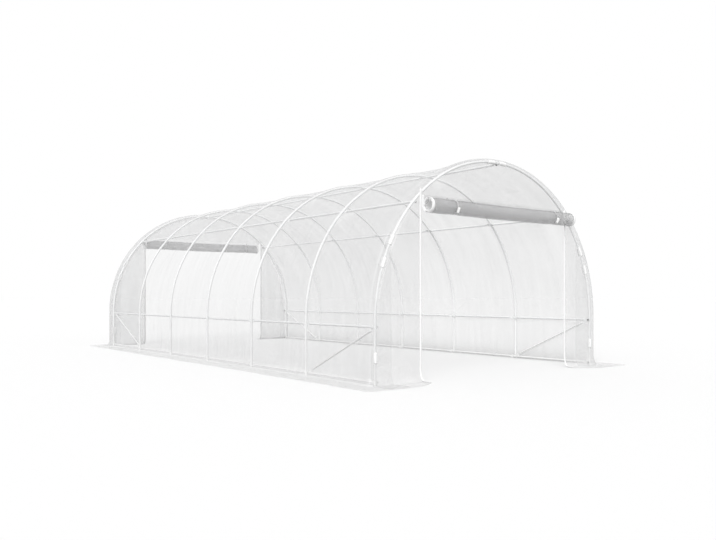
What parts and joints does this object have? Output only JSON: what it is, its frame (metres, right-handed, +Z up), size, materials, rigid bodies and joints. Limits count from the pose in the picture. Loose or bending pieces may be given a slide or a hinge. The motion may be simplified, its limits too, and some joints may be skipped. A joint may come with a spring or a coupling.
{
  "type": "polytunnel greenhouse",
  "caption": "Walk-in polytunnel greenhouse: white steel hoops, purlins and corner braces under a clear film cover with a ground skirt and a rolled-up zip door at each end.",
  "frame": {"origin": "on the ground at the middle of the tunnel's plan", "axes": "+X to the right seen from the front door, +Y from the front door to the rear door, +Z up"},
  "size_m": [3.5426, 6.5676, 2.0037],
  "materials": {
    "hoop_steel": "white powder coat",
    "rail_steel": "white powder coat",
    "brace_steel": "white powder coat",
    "cover_film": "clear polyethylene film",
    "end_film": "clear polyethylene film",
    "skirt_film": "clear polyethylene film",
    "door_film": "rolled polyethylene film",
    "zip_tape": "woven tape and moulded zip",
    "tie_strap": "webbing and moulded toggle",
    "clip_plastic": "moulded white"
  },
  "bodies": {
    "root": {"front_hoop": "hoop_steel", "hoop_2": "hoop_steel", "hoop_3": "hoop_steel", "hoop_4": "hoop_steel", "hoop_5": "hoop_steel", "hoop_6": "hoop_steel", "rear_hoop": "hoop_steel", "ridge_purlin": "rail_steel", "left_roof_purlin": "rail_steel", "right_roof_purlin": "rail_steel", "left_waist_rail": "rail_steel", "right_waist_rail": "rail_steel", "left_base_rail": "rail_steel", "right_base_rail": "rail_steel", "front_left_brace": "brace_steel", "front_right_brace": "brace_steel", "rear_left_brace": "brace_steel", "rear_right_brace": "brace_steel", "left_wall_film": "cover_film", "left_shoulder_film": "cover_film", "left_roof_film": "cover_film", "right_roof_film": "cover_film", "right_shoulder_film": "cover_film", "right_wall_film": "cover_film", "front_left_panel": "end_film", "front_right_panel": "end_film", "front_arch_panel": "end_film", "rear_left_panel": "end_film", "rear_right_panel": "end_film", "rear_arch_panel": "end_film", "left_skirt": "skirt_film", "right_skirt": "skirt_film", "front_left_skirt": "skirt_film", "front_right_skirt": "skirt_film", "rear_left_skirt": "skirt_film", "rear_right_skirt": "skirt_film", "front_door_roll": "door_film", "rear_door_roll": "door_film", "front_door_zips": "zip_tape", "rear_door_zips": "zip_tape", "front_door_ties": "tie_strap", "rear_door_ties": "tie_strap", "front_film_clips": "clip_plastic", "rear_film_clips": "clip_plastic"}
  },
  "joints": []
}
